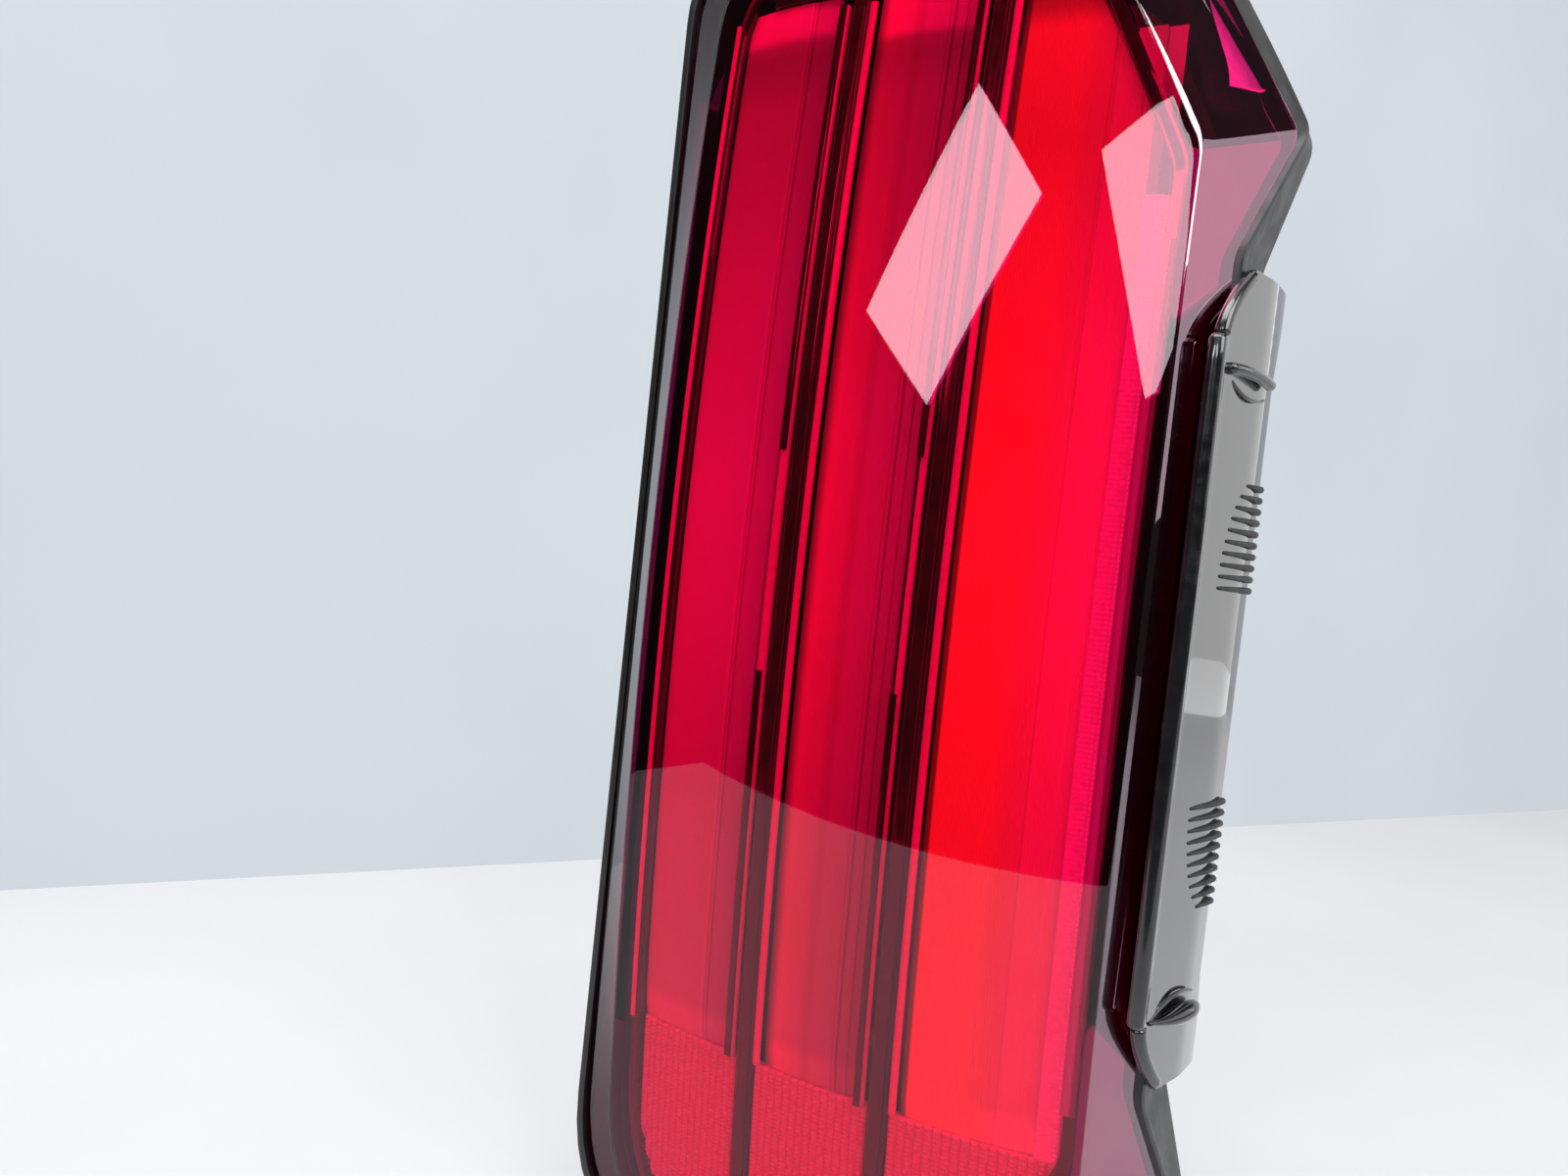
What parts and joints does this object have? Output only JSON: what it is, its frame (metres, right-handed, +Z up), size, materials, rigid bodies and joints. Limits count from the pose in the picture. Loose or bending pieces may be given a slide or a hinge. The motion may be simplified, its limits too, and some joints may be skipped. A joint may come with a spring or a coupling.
{
  "type": "tail light",
  "caption": "Upright rear combination lamp: sealed red lens over lit columns and ribs, black housing with a side bracket, rear studs and quarter-turn bulb holders.",
  "frame": {"origin": "centre of the seat boss's face on the back of the housing", "axes": "+Z up along the lamp's height, +Y out of the back towards the vehicle, so the lens faces -Y, +X towards the side bracket"},
  "size_m": [0.2145, 0.096, 0.484],
  "materials": {
    "red_lens": "clear red moulded lens, polished",
    "sealant": "cured sealing bead",
    "housing_black": "moulded, fine grain",
    "bezel_black": "polished black moulding",
    "diffuser_red": "satin diffuser with fine vertical ribs",
    "light_guide": "polished acrylic rod",
    "prism_red": "prismatic cells",
    "metallised": "vacuum metallised",
    "circuit_white": "white solder mask",
    "led_emitter": "encapsulated emitter",
    "cast_aluminium": "as pressed, satin",
    "steel": "zinc plated",
    "holder_plastic": "glass filled moulding",
    "seal_rubber": "moulded",
    "foam": "closed-cell foam",
    "bulb_glass": "clear glass",
    "circuit_green": "green solder mask",
    "terminal": "plated",
    "membrane": "porous film",
    "bracket_gloss": "high gloss black"
  },
  "bodies": {
    "lamp": {"outer_lens": "red_lens", "lens_seal": "sealant", "rear_housing": "housing_black", "inner_bezel": "bezel_black", "column_rib_outer": "bezel_black", "column_rib_inner": "bezel_black", "top_mask": "bezel_black", "light_panel_outer": "diffuser_red", "light_panel_middle": "diffuser_red", "light_panel_inner": "diffuser_red", "light_pipe_rim": "light_guide", "light_pipe_a": "light_guide", "light_pipe_b": "light_guide", "light_pipe_c": "light_guide", "light_pipe_d": "light_guide", "shade_strips": "bezel_black", "prism_pad_outer": "prism_red", "prism_pad_middle": "prism_red", "prism_pad_inner": "prism_red", "reflex_band": "prism_red", "tray_outer": "metallised", "tray_middle": "metallised", "tray_inner": "metallised", "led_board_outer": "circuit_white", "led_board_middle": "circuit_white", "led_board_inner": "circuit_white", "leds_outer": "led_emitter", "leds_middle": "led_emitter", "leds_inner": "led_emitter", "heat_sink": "cast_aluminium", "board_screws": "steel", "bulb_reflector_left": "metallised", "bulb_reflector_right": "metallised", "driver_case": "cast_aluminium", "driver_board": "circuit_green", "driver_screws": "steel", "connector_header": "holder_plastic", "connector_pins": "terminal", "vent_cap": "holder_plastic", "vent_membrane": "membrane", "body_gasket": "foam", "mounting_studs": "steel", "locating_posts": "holder_plastic", "side_bracket": "bracket_gloss", "trim_rail": "bracket_gloss", "bracket_screws": "steel"},
    "holder_left": {"bulb_holder_left": "holder_plastic", "holder_seal_left": "seal_rubber", "bulb_left": "bulb_glass"},
    "holder_right": {"bulb_holder_right": "holder_plastic", "holder_seal_right": "seal_rubber", "bulb_right": "bulb_glass"}
  },
  "joints": [
    {"name": "holder_left_turn", "type": "hinge", "parent": "lamp", "child": "holder_left", "pos_m": [-0.042, 0, -0.188], "axis": [0, 1, 0], "range_deg": [0, 45]},
    {"name": "holder_right_turn", "type": "hinge", "parent": "lamp", "child": "holder_right", "pos_m": [0.024, 0, -0.188], "axis": [0, 1, 0], "range_deg": [0, 45]}
  ]
}
